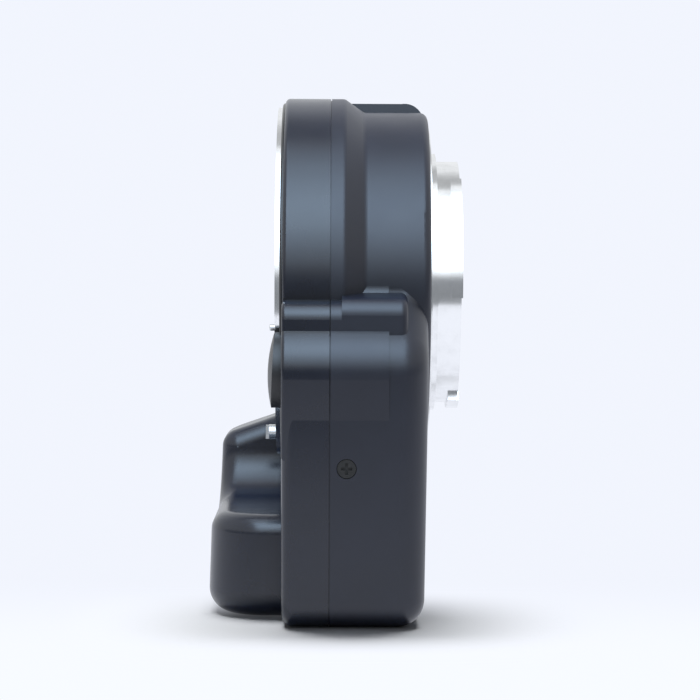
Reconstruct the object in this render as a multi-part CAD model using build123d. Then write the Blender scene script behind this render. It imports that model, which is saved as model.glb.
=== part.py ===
from build123d import *
import os
from math import acos, atan2, cos, degrees, hypot, pi, radians, sin, sqrt, tan

# Driving dimensions in millimetres. X runs along the optical axis toward the camera, Z is up.

# Casing
flange_distance = 26.5
ring_radius = 32.4
barrel_radius = 30.0
half_width = 38.8
axis_height = 57.0
wall = 1.8
front_wall = 2.15
back_wall = 2.7
skirt_back_wall = 3.2
seam_depth = 7.95
seam_gap = 0.2
seam_groove_depth = 0.3
step_depth = 10.45
step_length = 3.4
barrel_inset = 0.3
skirt_inset = 0.75
shoulder_radius = 8.5
shoulder_level = 59.65
shoulder_fall = 1.5
shoulder_slope = 45.0
blend_share = 0.47
wall_lean = 4.0
front_taper = 0.1
back_taper = 0.6
base_corner_radius = 5.0
front_rim_radius = 2.0
back_rim_radius = 4.6
ring_edge_radius = 0.8
barrel_edge_radius = 1.3
step_edge_radius = 1.2
step_root_radius = 1.2
tongue_length = 1.3
tongue_thickness = 0.8
tongue_root = 1.6

# Clearances
fit_gap = 0.1
slide_gap = 0.06
run_gap = 0.05
thread_gap = 0.03
room_gap = 0.3
overlap = 0.5
cut_margin = 1.0

# Boss on the near side that holds the release button
boss_length = 17.75
boss_rise = 0.45
boss_rim_radius = 0.6
boss_foot_length = 7.9

# Upper step of the near shoulder
ledge_setback = 2.5
ledge_drop = 2.7
ledge_radius = 3.0
ledge_slope = 0.2
ledge_lift = 0.75
ledge_end_setback = 3.6
ledge_end_radius = 1.2

# Raised pad on the barrel
pad_start_angle = 85.0
pad_sweep = 49.0
pad_end_length = 3.8
pad_setback = 0.6
pad_drop = 0.5

# Chin
chin_reach = 12.85
chin_near = 24.0
chin_far = 32.5
chin_lift = 0.1
chin_lean = 0.9
chin_top_drop = 28.8
chin_top_slope = 19.0
chin_foot_radius = 4.2
chin_near_radius = 10.0
chin_far_radius = 5.5
chin_rim_radius = 3.2
chin_front_wall = 2.6
chin_side_wall = 5.0
chin_floor_wall = 2.4
channel_wall_y = 17.0
channel_turn_radius = 8.0
channel_floor_drop = 39.4

# Lens bayonet
mount_ring_thickness = 1.25
trim_ring_inset = 0.8
trim_ring_width = 0.8
trim_ring_height = 0.45
trim_chamfer = 0.25
lens_throat_radius = 25.4
lens_lug_depth = 1.5
lens_lug_thickness = 1.1
lens_lug_sweep = 58.0
leaf_thickness = 0.3
leaf_depth = 1.3
leaf_sweep = 40.0
lens_screw_length = 7.0

# Camera bayonet
camera_flange_width = 4.2
camera_flange_thickness = 1.5
collar_step = 1.4
collar_length = 1.1
tube_radius = 21.4
tube_length = 5.1
tube_wall = 1.2
camera_lug_depth = 1.0
camera_lug_start = 3.4
camera_lug_thickness = 1.9
camera_lug_sweep = 60.0
camera_screw_length = 6.5
lock_hole_radius = 1.2
lock_hole_depth = 1.0

# Index marks
dot_radius = 0.9
dot_depth = 0.4
lens_dot_angle = 62.0
camera_dot_angle = 112.0

# Release
button_radius = 6.35
button_rise = 2.35
button_dome_radius = 24.0
button_dome_drop = 1.0
button_trim_gap = 0.5
release_travel = 2.4
plate_standoff = 0.7
plate_thickness = 0.8
plate_width = 2.6
plate_rim_gap = 1.2
plate_pad_radius = 4.4
plate_fork_radius = 2.4
plate_start_angle = 190.0
plate_sweep = 97.0
lock_pin_radius = 0.55
lock_pin_rise = 0.9
lock_pin_y = -27.0
lock_pin_z = -7.3
release_spring_radius = 1.7
release_spring_wire = 0.4
release_spring_length = 6.0

# Focus drive
coupler_y = 7.8
coupler_z = -27.5
coupler_head_radius = 1.35
coupler_head_length = 1.2
coupler_blade_rise = 0.6
coupler_blade_thickness = 0.8
coupler_neck_radius = 0.8
coupler_flange_radius = 1.9
coupler_flange_thickness = 0.6
coupler_hole_gap = 0.25
coupler_square = 1.2
coupler_tail = 1.4
coupler_spring_radius = 1.35
coupler_spring_wire = 0.3
gear_module = 0.4
gear_backlash = 0.1
coupler_teeth = 13
idler_teeth = 34
pinion_teeth = 10
gear_width = 2.0
gear_standoff = 6.1
gear_play = 0.4
gear_hub_radius = 1.6
gear_plate_thickness = 1.2
gear_plate_margin = 0.8
gear_post_reach = 11.5
idler_axle_radius = 0.8
motor_axle_radius = 0.5
idler_direction = -40.0
motor_direction = -60.0
motor_radius = 4.8
motor_length = 8.8
motor_edge_radius = 0.5

# Aperture drive
arc_pitch_gap = 0.2
arc_width = 1.7
arc_thickness = 1.1
arc_standoff = 0.2
arc_start_angle = -35.0
arc_end_angle = 110.0
lever_depth = 1.0
lever_reach = 1.3
lever_sweep = 5.0
aperture_travel = 16.0
aperture_pinion_angle = 58.0
aperture_motor_radius = 2.7
aperture_motor_length = 9.0
aperture_motor_setback = 3.5

# Mirror box and mirror
box_gap = 0.6
box_front_wall = 0.7
box_front_setback = 1.5
box_front_thickness = 2.6
box_shoulder_setback = 7.1
box_floor_thickness = 8.7
ear_radius = 2.2
ear_length = 4.2
chamber_width = 39.0
chamber_height = 25.6
mirror_tilt = 40.0
mirror_side_gap = 0.3
mirror_end_gap = 1.3
mirror_frame_width = 1.5
mirror_frame_thickness = 1.2
mirror_seat_width = 0.7
mirror_thickness = 0.3
mirror_center_x = -11.9
rail_width = 1.8
rail_thickness = 1.2
clip_length = 6.0
clip_thickness = 0.2

# Light mask and contacts
baffle_setback = 0.2
baffle_thickness = 1.4
baffle_side_margin = 3.0
baffle_end_margin = 1.05
baffle_ring_width = 1.0
baffle_window_inset = 1.8
baffle_corner_radius = 2.0
contact_depth = 4.6
contact_step_angle = 5.6
contact_pad_radius = 0.6
contact_pad_rise = 0.15
contact_block_start = 0.9
contact_block_sink = 0.3
pin_circle_inset = 0.7
pin_block_half = 1.35
pin_radius = 0.45
pin_rise = 0.8
pin_foot_radius = 0.65
pin_foot_length = 0.4
pin_step_angle = 5.4

# Focus sensor
sensor_setback = 4.3
sensor_length = 8.0
sensor_near = 8.0
sensor_far = 4.2
sensor_height = 23.5
sensor_wall = 1.2
shaft_near = 4.2
shaft_depth = 8.5
condenser_drop = 3.0
condenser_thickness = 4.5
condenser_dome_radius = 11.0
sensor_board_thickness = 1.0
sensor_chip_length = 5.0
sensor_chip_width = 6.5
sensor_chip_height = 1.2

# Main board
board_setback = 13.1
board_thickness = 1.0
board_width = 20.4
board_height = 26.0
board_side_gap = 2.0
board_base_gap = 1.2
board_post_inset = 4.0
chip_height = 1.0
chip_size = 8.0
post_radius = 2.0
post_screw_length = 4.5

# Tripod socket, quarter inch thread
socket_bore_radius = 2.6
socket_bore_depth = 5.5
socket_radius = 4.5
socket_depth = 6.5
socket_lip = 1.2
socket_lip_thickness = 1.6
socket_x = -9.8

# Screws
screw_shank_radius = 0.8
screw_head_radius = 1.55
screw_head_height = 0.9
side_screw_x = -14.4
side_screw_z = -30.1
side_screw_sink = 1.1
side_screw_length = 4.0
side_lug_depth = 3.2
side_lug_half = 2.6
side_lug_root = 5.5

# Derived planes along the optical axis
lens_flange_x = -flange_distance
face_x = lens_flange_x + mount_ring_thickness
inner_face_x = face_x + front_wall
seam_x = face_x + seam_depth
step_x = face_x + step_depth
step_end_x = step_x + step_length
boss_end_x = face_x + boss_length
skirt_end_x = -skirt_inset
barrel_end_x = -barrel_inset
inner_back_x = barrel_end_x - back_wall
plate_x = inner_face_x + plate_standoff
gear_x = inner_face_x + gear_standoff
gear_plate_x = gear_x + gear_width + gear_play
gear_plate_back_x = gear_plate_x + gear_plate_thickness
arc_x = inner_face_x + arc_standoff
aperture_motor_x = inner_face_x + aperture_motor_setback
box_front_x = inner_face_x + box_front_setback
box_shoulder_x = inner_face_x + box_shoulder_setback
sensor_x = inner_face_x + sensor_setback
board_x = inner_face_x + board_setback
chin_root_x = face_x + front_rim_radius + cut_margin

# Derived places across the optical axis
base_z = -axis_height
shoulder_y = half_width - shoulder_radius
shoulder_drop = shoulder_level - shoulder_fall * shoulder_y
blend_radius = blend_share * (half_width - ring_radius)
lean = radians(wall_lean)
base_half_width = shoulder_y + (shoulder_radius - (axis_height - shoulder_drop) * sin(lean)) / cos(lean)
lens_clear_radius = ring_radius + fit_gap
trim_ring_radius = ring_radius - trim_ring_inset
mount_ring_radius = trim_ring_radius - trim_ring_width
mount_screw_circle = (mount_ring_radius + lens_throat_radius) / 2
lens_lug_radius = lens_throat_radius - lens_lug_depth
collar_radius = tube_radius + collar_step
tube_bore_radius = tube_radius - tube_wall
camera_lug_radius = tube_radius + camera_lug_depth
camera_flange_radius = collar_radius + camera_flange_width
camera_screw_circle = (camera_flange_radius + collar_radius) / 2
box_radius = barrel_radius - wall - box_gap
box_front_radius = lens_throat_radius + box_front_wall
box_floor_z = -chamber_height / 2 - box_floor_thickness
mirror_width = chamber_width - 2 * mirror_side_gap
mirror_length = (chamber_height - 2 * mirror_end_gap) / cos(radians(mirror_tilt))
arc_teeth = 2 * round((lens_throat_radius + arc_pitch_gap) / gear_module)
arc_outer_radius = gear_module * arc_teeth / 2 - 1.75 * gear_module
arc_inner_radius = arc_outer_radius - arc_width
pin_circle = lens_lug_radius - pin_circle_inset
contact_inner_radius = tube_bore_radius - contact_depth
board_near_y = wall + board_side_gap - base_half_width
board_low_z = base_z + wall + board_base_gap


def polar(radius, degrees):
    """Point at a radius and an angle from +Y toward +Z."""
    return (radius * cos(radians(degrees)), radius * sin(radians(degrees)))


def prism(face, x0, x1):
    """Front-view face drawn in (Y, Z), swept from x0 to x1."""
    return extrude(Plane.YZ.offset(x0) * face, x1 - x0, dir=(1, 0, 0))


def disc(radius, x0, x1, y=0.0, z=0.0):
    """Cylinder along X."""
    return prism(Pos(y, z) * Circle(radius), x0, x1)


def tube(outer, inner, x0, x1):
    return prism(Circle(outer) - Circle(inner), x0, x1)


def block(x0, x1, y0, y1, z0, z1):
    return Pos((x0 + x1) / 2, (y0 + y1) / 2, (z0 + z1) / 2) * Box(x1 - x0, y1 - y0, z1 - z0)


def turned(points):
    """Solid turned about the optical axis from (X, radius) points."""
    return revolve(Plane.XZ * Polygon(*points, align=None), Axis.X)


def arc(center, radius, start, end):
    """Arc from one angle to another in a front-view sketch."""
    mid = (start + end) / 2
    ends = [
        (center[0] + radius * cos(a), center[1] + radius * sin(a))
        for a in (start, mid, end)
    ]
    return ThreePointArc(*ends)


def sector(outer, inner, start, sweep):
    """Ring sector in a front-view sketch, angles in degrees."""
    a0 = radians(start)
    a1 = radians(start + sweep)
    edges = [
        arc((0, 0), outer, a0, a1),
        Line(polar(outer, start + sweep), polar(inner, start + sweep)),
        arc((0, 0), inner, a1, a0),
        Line(polar(inner, start), polar(outer, start)),
    ]
    return make_face(Wire(edges))


def slope_points(radius, inset, rise):
    """Points from the ring over the concave blend and the slope to the top of the shoulder."""
    slope = radians(shoulder_slope)
    nx = cos(slope)
    nz = sin(slope)
    blend = blend_radius + inset - rise
    bulge = shoulder_radius + rise - inset
    ring = radius - inset
    reach = nx * shoulder_y - nz * shoulder_drop + bulge + blend
    along = -sqrt((ring + blend) ** 2 - reach ** 2)
    hub = (reach * nx - along * nz, reach * nz + along * nx)
    share = ring / (ring + blend)
    on_ring = (hub[0] * share, hub[1] * share)
    on_slope = (hub[0] - blend * nx, hub[1] - blend * nz)
    middle = (atan2(-hub[1], -hub[0]) % (2 * pi) + slope + pi) / 2
    on_blend = (hub[0] + blend * cos(middle), hub[1] + blend * sin(middle))
    crest = (shoulder_y + bulge * nx, -shoulder_drop + bulge * nz)
    return [on_ring, on_blend, on_slope, crest]


def side_y(z):
    """Half width of the casing at a height below the shoulder, where the wall leans inward."""
    return shoulder_y + (shoulder_radius + (z + shoulder_drop) * sin(lean)) / cos(lean)


def inner_side_y(z):
    """Half width of the room inside the leaning wall."""
    return side_y(z) - wall / cos(lean)


def flank(sign, radius, inset):
    """One side of the casing outline, from the ring down to the base."""
    top = slope_points(radius, inset, 0.0)
    bulge = shoulder_radius - inset
    crest = (radians(shoulder_slope) - lean) / 2
    crest_mid = (shoulder_y + bulge * cos(crest), -shoulder_drop + bulge * sin(crest))
    side = (shoulder_y + bulge * cos(lean), -shoulder_drop - bulge * sin(lean))
    corner = base_corner_radius - inset
    corner_z = base_z + base_corner_radius
    corner_y = side_y(corner_z) - base_corner_radius / cos(lean)
    turn = -(lean + pi / 2) / 2
    low = (corner_y + corner * cos(lean), corner_z - corner * sin(lean))
    low_mid = (corner_y + corner * cos(turn), corner_z + corner * sin(turn))
    ground = (corner_y, base_z + inset)
    points = top + [crest_mid, side, low, low_mid, ground]
    return [(sign * p[0], p[1]) for p in points]


def flank_edges(p):
    return [
        ThreePointArc(p[0], p[1], p[2]),
        Line(p[2], p[3]),
        ThreePointArc(p[3], p[4], p[5]),
        Line(p[5], p[6]),
        ThreePointArc(p[6], p[7], p[8]),
    ]


def skirt_face(radius, inset):
    """Lower part of the casing outline, closed inside the ring."""
    near = flank(-1, radius, inset)
    far = flank(1, radius, inset)
    near_in = (near[0][0] * 0.7, near[0][1] * 0.7)
    far_in = (far[0][0] * 0.7, far[0][1] * 0.7)
    edges = flank_edges(near) + [Line(near[8], far[8])] + flank_edges(far)
    edges += [Line(far[0], far_in), Line(far_in, near_in), Line(near_in, near[0])]
    return make_face(Wire(edges))


def boss_face(radius):
    """Raised boss over the near shoulder, tapering into the wall below."""
    bulge = shoulder_radius + boss_rise
    foot_z = -shoulder_drop - boss_foot_length
    foot = (side_y(foot_z), foot_z)
    span = (foot[0] - shoulder_y, foot[1] + shoulder_drop)
    touch = atan2(span[1], span[0]) + acos(bulge / hypot(span[0], span[1]))
    middle = (radians(shoulder_slope) + touch) / 2
    top = slope_points(radius, 0.0, boss_rise)
    arc_mid = (shoulder_y + bulge * cos(middle), -shoulder_drop + bulge * sin(middle))
    arc_end = (shoulder_y + bulge * cos(touch), -shoulder_drop + bulge * sin(touch))
    end = (2 * foot[0] - arc_end[0], 2 * foot[1] - arc_end[1])
    inner = (shoulder_y - shoulder_radius, end[1])
    points = [(-p[0], p[1]) for p in top + [arc_mid, arc_end, end, inner]]
    ring_in = (points[0][0] * 0.85, points[0][1] * 0.85)
    edges = [
        ThreePointArc(points[0], points[1], points[2]),
        Line(points[2], points[3]),
        ThreePointArc(points[3], points[4], points[5]),
        Line(points[5], points[6]),
        Line(points[6], points[7]),
        Line(points[7], ring_in),
        Line(ring_in, points[0]),
    ]
    return make_face(Wire(edges))


def ledge_face(lift):
    """Upper step of the near shoulder, with a rounded outer edge."""
    edge_y = half_width - ledge_setback
    center = (edge_y - ledge_radius, lift - ledge_drop - ledge_radius)
    inner_y = barrel_radius - wall / 2
    top = (inner_y, center[1] + ledge_radius + ledge_slope * (center[0] - inner_y))
    edges = [
        Line((-inner_y, -shoulder_drop), (-edge_y, -shoulder_drop)),
        Line((-edge_y, -shoulder_drop), (-edge_y, center[1])),
        arc((-center[0], center[1]), ledge_radius, pi, pi / 2),
        Line((-center[0], center[1] + ledge_radius), (-top[0], top[1])),
        Line((-top[0], top[1]), (-inner_y, -shoulder_drop)),
    ]
    return make_face(Wire(edges))


def rear_ledge():
    """Part of the upper step that lies over the barrel, a little higher and rounded at its end."""
    ledge = prism(ledge_face(ledge_lift), step_x - overlap, skirt_end_x - ledge_end_setback)
    return fillet(rim_edges(ledge, 1, barrel_radius), ledge_end_radius)


def seam_groove():
    """Everything outside the floor of the narrow groove at the seam."""
    reach = 2 * axis_height
    slot = block(seam_x, seam_x + seam_gap, -reach, reach, -reach, reach)
    x0 = seam_x - cut_margin
    x1 = seam_x + cut_margin
    slot -= disc(ring_radius - seam_groove_depth, x0, x1)
    return slot - prism(skirt_face(ring_radius, seam_groove_depth), x0, x1)


def tapered_end(solid, x, sign):
    """Trim one end of the skirt so that it leans inward toward the base."""
    size = 4 * axis_height
    taper = front_taper if sign < 0 else back_taper
    beyond = Pos(sign * size / 2, 0, 0) * Box(size, size, size)
    return solid - Pos(x, 0, 0) * beyond - Pos(x, 0, 0) * Rot(0, sign * taper, 0) * beyond


def rim_edges(solid, sign, radius):
    """Edges of one end face of the skirt, without those that lie inside the ring."""
    end = solid.faces().sort_by(Axis.X)[0 if sign < 0 else -1]
    return [e for e in end.edges() if hypot(e.center().Y, e.center().Z) > radius - room_gap]


def cross_recess(radius, depth):
    """Cross-shaped recess, open at z = 0."""
    bar = Box(radius * 1.2, radius * 0.3, depth, align=(Align.CENTER, Align.CENTER, Align.MAX))
    return bar + Rot(0, 0, 90) * bar


def countersunk_screw(length):
    """Flat-topped screw with its top at z = 0 and its shank down -Z."""
    cone = Cone(screw_shank_radius, screw_head_radius, screw_head_height)
    head = Pos(0, 0, -screw_head_height / 2) * cone
    shank = Pos(0, 0, -length / 2) * Cylinder(screw_shank_radius, length)
    return head + shank - cross_recess(screw_head_radius, screw_head_height * 0.6)


def countersink(length):
    """Room for a countersunk screw, a little larger than the screw."""
    shank_radius = screw_shank_radius + thread_gap
    head_radius = screw_head_radius + thread_gap
    head = Pos(0, 0, -screw_head_height / 2) * Cone(shank_radius, head_radius, screw_head_height)
    lead = Pos(0, 0, cut_margin / 2) * Cylinder(head_radius, cut_margin)
    shank = Pos(0, 0, -length / 2) * Cylinder(shank_radius, length)
    return head + lead + shank


def pan_screw(length):
    """Pan-head screw seated at z = 0 with its head above."""
    head = Pos(0, 0, screw_head_height / 2) * Cylinder(screw_head_radius, screw_head_height)
    shank = Pos(0, 0, -length / 2) * Cylinder(screw_shank_radius, length)
    recess = cross_recess(screw_head_radius, screw_head_height * 0.55)
    return head + shank - Pos(0, 0, screw_head_height) * recess


def lens_screw_planes():
    spots = [polar(mount_screw_circle, a) for a in (25, 90, 150, 318)]
    return [Plane((lens_flange_x, y, z), z_dir=(-1, 0, 0)) for y, z in spots]


def camera_screw_planes():
    spots = [polar(camera_screw_circle, a) for a in (40, 140, 220, 320)]
    return [Plane((0, y, z), z_dir=(1, 0, 0)) for y, z in spots]


def lens_mount_screws():
    screw = countersunk_screw(lens_screw_length)
    return [plane * screw for plane in lens_screw_planes()]


def camera_mount_screws():
    screw = countersunk_screw(camera_screw_length)
    return [plane * screw for plane in camera_screw_planes()]


def side_screw_planes():
    seat = side_y(side_screw_z) - side_screw_sink
    return [
        Plane((side_screw_x, -seat, side_screw_z), z_dir=(0, -1, 0)),
        Plane((side_screw_x, seat, side_screw_z), z_dir=(0, 1, 0)),
    ]


def button_face(grow):
    """Round button outline cut away beside the trim ring."""
    outline = Pos(-shoulder_y, -shoulder_drop) * Circle(button_radius + grow)
    return outline - Circle(trim_ring_radius + button_trim_gap - grow)


def chin_plan(front_x):
    """Top-view outline of the chin with rounded front corners."""
    near = (front_x + chin_near_radius, chin_near_radius - chin_near)
    far = (front_x + chin_far_radius, chin_far - chin_far_radius)
    edges = [
        Line((chin_root_x, -chin_near), (near[0], -chin_near)),
        arc(near, chin_near_radius, 1.5 * pi, pi),
        Line((front_x, near[1]), (front_x, far[1])),
        arc(far, chin_far_radius, pi, pi / 2),
        Line((far[0], chin_far), (chin_root_x, chin_far)),
        Line((chin_root_x, chin_far), (chin_root_x, -chin_near)),
    ]
    return make_face(Wire(edges))


def chin_solid():
    """Forward chin with a channel on top that clears the lens."""
    foot_z = base_z + chin_lift
    top_z = -chin_top_drop + chin_reach
    front_x = face_x - chin_reach
    lean = chin_lean * (top_z - foot_z) / (-chin_top_drop - foot_z)
    foot = Plane.XY.offset(foot_z) * chin_plan(front_x)
    top = Plane.XY.offset(top_z) * chin_plan(front_x + lean)
    body = loft([foot, top], ruled=True)
    slope = Pos(front_x + chin_lean, 0, -chin_top_drop) * Rot(0, -chin_top_slope, 0)
    size = 4 * axis_height
    body -= slope * Box(size, size, size, align=(Align.CENTER, Align.CENTER, Align.MIN))
    body -= prism(channel_face(), front_x - cut_margin, chin_root_x + cut_margin)
    body -= disc(lens_clear_radius, front_x - cut_margin, chin_root_x + cut_margin)
    foot_edges = body.edges().group_by(Axis.Z)[0]
    body = fillet([e for e in foot_edges if e.center().X < chin_root_x - 0.01], chin_foot_radius)
    return fillet([e for e in body.edges() if is_chin_rim(e)], chin_rim_radius)


def channel_face():
    """Room above the chin for the lens: a level floor that turns up into a wall on the far side."""
    floor = -channel_floor_drop
    center = (channel_wall_y - channel_turn_radius, floor + channel_turn_radius)
    edges = [
        Line((-half_width, floor), (center[0], floor)),
        arc(center, channel_turn_radius, -pi / 2, 0.0),
        Line((channel_wall_y, center[1]), (channel_wall_y, 0)),
        Line((channel_wall_y, 0), (-half_width, 0)),
        Line((-half_width, 0), (-half_width, floor)),
    ]
    return make_face(Wire(edges))


def is_chin_rim(edge):
    """Edges around the top of the chin, without the root and the lines along the channel."""
    box = edge.bounding_box()
    along_channel = box.size.Y + box.size.Z < 0.01 and box.min.Y > -chin_near + 0.01
    outside = box.min.X < chin_root_x - 0.01 and box.min.Z > -channel_floor_drop - cut_margin
    return outside and not along_channel


def chin_room():
    """Space inside the chin, open to the housing behind it."""
    front = face_x - chin_reach + chin_front_wall
    floor = base_z + wall + chin_lift
    roof = -channel_floor_drop - chin_floor_wall
    return block(front, chin_root_x, chin_side_wall - chin_near, chin_far - chin_side_wall, floor, roof)


def front_room():
    """Inside of the front shell, with its front wall leaning like the outside."""
    end_x = seam_x + cut_margin
    room = prism(skirt_face(ring_radius, wall), inner_face_x - cut_margin, end_x)
    room = tapered_end(room, inner_face_x, -1)
    return room + disc(ring_radius - wall, inner_face_x, end_x)


def rear_room(radius, x0, x1):
    """Inside of the rear shell between two planes."""
    skirt = prism(skirt_face(radius, wall), x0, min(x1, skirt_end_x - skirt_back_wall))
    return disc(radius - wall, x0, x1) + skirt


def front_shell():
    back_x = seam_x
    skirt = tapered_end(prism(skirt_face(ring_radius, 0.0), face_x - cut_margin, back_x), face_x, -1)
    skirt = fillet(rim_edges(skirt, -1, ring_radius), front_rim_radius)
    boss = tapered_end(prism(boss_face(ring_radius), face_x - cut_margin, back_x), face_x, -1)
    boss = fillet(rim_edges(boss, -1, ring_radius), boss_rim_radius)
    ledge = tapered_end(prism(ledge_face(0.0), face_x - cut_margin, back_x), face_x, -1)
    ledge = fillet(rim_edges(ledge, -1, barrel_radius), boss_rim_radius)
    ring = disc(ring_radius, face_x, back_x)
    ring = fillet(ring.edges().group_by(Axis.X)[0], ring_edge_radius)
    shell = skirt + boss + ledge + ring + chin_solid()
    shell -= front_room()
    shell -= chin_room()
    x0 = face_x - cut_margin
    x1 = inner_face_x + cut_margin
    shell -= disc(box_front_radius + room_gap, x0, x1)
    shell -= prism(button_face(fit_gap), x0, x1)
    shell -= disc(lock_pin_radius + fit_gap, x0, x1, lock_pin_y, lock_pin_z)
    shell -= disc(coupler_head_radius + coupler_hole_gap, x0, x1, coupler_y, coupler_z)
    for plane in lens_screw_planes():
        shell -= plane * countersink(mount_ring_thickness + front_wall + cut_margin)
    for sign in (-1, 1):
        shell += side_lug(sign)
    for plane in side_screw_planes():
        hole = Cylinder(screw_shank_radius + thread_gap, 2 * side_screw_length)
        shell -= plane * Pos(0, 0, -side_screw_length / 2) * hole
    return shell


def side_lug(sign):
    """Arm of the front shell that reaches behind the seam and takes a side screw."""
    outer = inner_side_y(side_screw_z - side_lug_half) - fit_gap
    x0 = seam_x - side_lug_root
    x1 = side_screw_x + side_lug_half - fit_gap
    z0 = side_screw_z - side_lug_half
    z1 = side_screw_z + side_lug_half
    y0, y1 = sorted((sign * (outer - side_lug_depth), sign * outer))
    y2, y3 = sorted((sign * (outer - overlap), sign * (outer + 2 * overlap)))
    root_x = seam_x - tongue_length - room_gap
    return block(x0, x1, y0, y1, z0, z1) + block(x0, root_x, y2, y3, z0, z1)


def rear_shell():
    front_x = seam_x
    shell = prism(skirt_face(ring_radius, 0.0), front_x, step_x)
    shell += prism(boss_face(ring_radius), front_x, step_x)
    shell += prism(boss_face(barrel_radius), step_x - overlap, boss_end_x)
    shell += prism(ledge_face(0.0), front_x, step_x)
    shell += rear_ledge()
    back = tapered_end(prism(skirt_face(barrel_radius, 0.0), step_x - overlap, cut_margin), skirt_end_x, 1)
    shell += fillet(rim_edges(back, 1, barrel_radius), back_rim_radius)
    barrel = turned(
        [
            (front_x, 0),
            (front_x, ring_radius),
            (step_x, ring_radius),
            (step_end_x, barrel_radius),
            (barrel_end_x, barrel_radius),
            (barrel_end_x, 0),
        ]
    )
    circles = barrel.edges().filter_by(GeomType.CIRCLE)
    barrel = fillet([e for e in circles if e.center().X > barrel_end_x - 0.01], barrel_edge_radius)
    circles = barrel.edges().filter_by(GeomType.CIRCLE)
    step_circle = [e for e in circles if abs(e.center().X - step_x) < 0.01]
    barrel = fillet(step_circle, step_edge_radius)
    circles = barrel.edges().filter_by(GeomType.CIRCLE)
    root_circle = [e for e in circles if abs(e.center().X - step_end_x) < 0.01]
    barrel = fillet(root_circle, step_root_radius)
    shell += barrel
    shell += pad_solid()
    shell -= seam_groove()
    shell -= rear_room(ring_radius, seam_x - cut_margin, step_x - overlap)
    shell -= rear_room(barrel_radius, seam_x - cut_margin, inner_back_x)
    shell += tongue()
    shell -= disc(camera_flange_radius + fit_gap, -camera_flange_thickness, cut_margin)
    shell -= disc(collar_radius, inner_back_x - cut_margin, cut_margin)
    shell -= mirror_place() * mirror_plate(-room_gap, mirror_frame_thickness + 2 * room_gap)
    for plane in camera_screw_planes():
        shell -= plane * countersink(back_wall + 2 * cut_margin)
    y, z = aperture_pinion_center()
    pocket_x = aperture_motor_x + aperture_motor_length + overlap
    shell -= disc(aperture_motor_radius + room_gap, seam_x - tongue_length - cut_margin, pocket_x, y, z)
    for sign in (-1, 1):
        shell -= side_lug_room(sign)
    for plane in side_screw_planes():
        head_room = Cylinder(screw_head_radius + fit_gap, 2 * side_screw_sink)
        shell -= plane * Pos(0, 0, side_screw_sink) * head_room
        shell -= plane * Cylinder(screw_shank_radius + fit_gap, 2 * side_screw_length)
    for y, z, x in gear_posts() + board_posts():
        shell += disc(post_radius, x, inner_back_x + overlap, y, z)
        shell -= disc(screw_shank_radius + thread_gap, x - cut_margin, x + post_screw_length, y, z)
    spring_x = plate_x + plate_thickness + release_spring_length
    shell += disc(post_radius + room_gap, spring_x, inner_back_x + overlap, -shoulder_y, -shoulder_drop)
    shell -= Pos(socket_x, 0, base_z) * Cylinder(socket_radius + fit_gap, 2 * socket_depth)
    return shell - camera_index_dot(thread_gap)


def side_lug_room(sign):
    """Way through the tongue for a side lug."""
    reach = side_lug_half + room_gap
    outer = inner_side_y(side_screw_z - reach)
    y0, y1 = sorted((sign * (outer - 2 * side_lug_depth), sign * outer))
    x0 = seam_x - tongue_length - cut_margin
    return block(x0, side_screw_x + reach, y0, y1, side_screw_z - reach, side_screw_z + reach)


def tongue():
    """Lip of the rear shell that overlaps the seam from inside."""
    lip = lip_ring(fit_gap, seam_x - tongue_length, seam_x + seam_gap)
    root = lip_ring(-fit_gap, seam_x + seam_gap / 2, seam_x + seam_gap / 2 + tongue_root)
    return lip + root


def lip_ring(gap, x0, x1):
    outer = wall + gap
    inner = wall + fit_gap + tongue_thickness
    ring = disc(ring_radius - outer, x0, x1) + prism(skirt_face(ring_radius, outer), x0, x1)
    room = disc(ring_radius - inner, x0 - cut_margin, x1 + cut_margin)
    room += prism(skirt_face(ring_radius, inner), x0 - cut_margin, x1 + cut_margin)
    return ring - room


def gear_posts():
    """Posts inside the rear shell for the gear plate, one to each side of the gears."""
    y, z = idler_center()
    spots = [polar(gear_post_reach, 3), polar(gear_post_reach, 234)]
    return [(y + p[0], z + p[1], gear_plate_back_x) for p in spots]


def board_posts():
    """Posts inside the rear shell for the main board, in two of its corners."""
    x = board_x + board_thickness
    far_y = board_near_y + board_width - board_post_inset
    high_z = board_low_z + board_height - board_post_inset
    return [(board_near_y + board_post_inset, board_low_z + board_post_inset, x), (far_y, high_z, x)]


def pad_solid():
    """Raised pad on the far side of the barrel, a little lower than the front ring."""
    top = ring_radius - pad_drop
    start_x = step_x - seam_gap
    end_x = barrel_end_x - pad_setback
    low = barrel_radius - overlap
    turn_x = end_x - pad_end_length
    quarter = sqrt(0.5)
    turn_mid = (turn_x + pad_end_length * quarter, low + (top - low) * quarter)
    edges = [
        Line((start_x, low), (start_x, top)),
        Line((start_x, top), (turn_x, top)),
        ThreePointArc((turn_x, top), turn_mid, (end_x, low)),
        Line((end_x, low), (start_x, low)),
    ]
    face = Plane.XZ * make_face(Wire(edges))
    return Rot(pad_start_angle - 90 - pad_sweep, 0, 0) * revolve(face, Axis.X, pad_sweep)


def trim_ring():
    ring = tube(trim_ring_radius, mount_ring_radius, face_x - trim_ring_height, face_x)
    outer = [e for e in ring.edges().group_by(Axis.X)[0] if e.radius > trim_ring_radius - 0.01]
    return chamfer(outer, trim_chamfer)


def lens_index_dot(grow):
    """Round mark let into the lens bayonet."""
    y, z = polar(mount_screw_circle, lens_dot_angle)
    return disc(dot_radius + grow, lens_flange_x, lens_flange_x + dot_depth, y, z)


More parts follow.
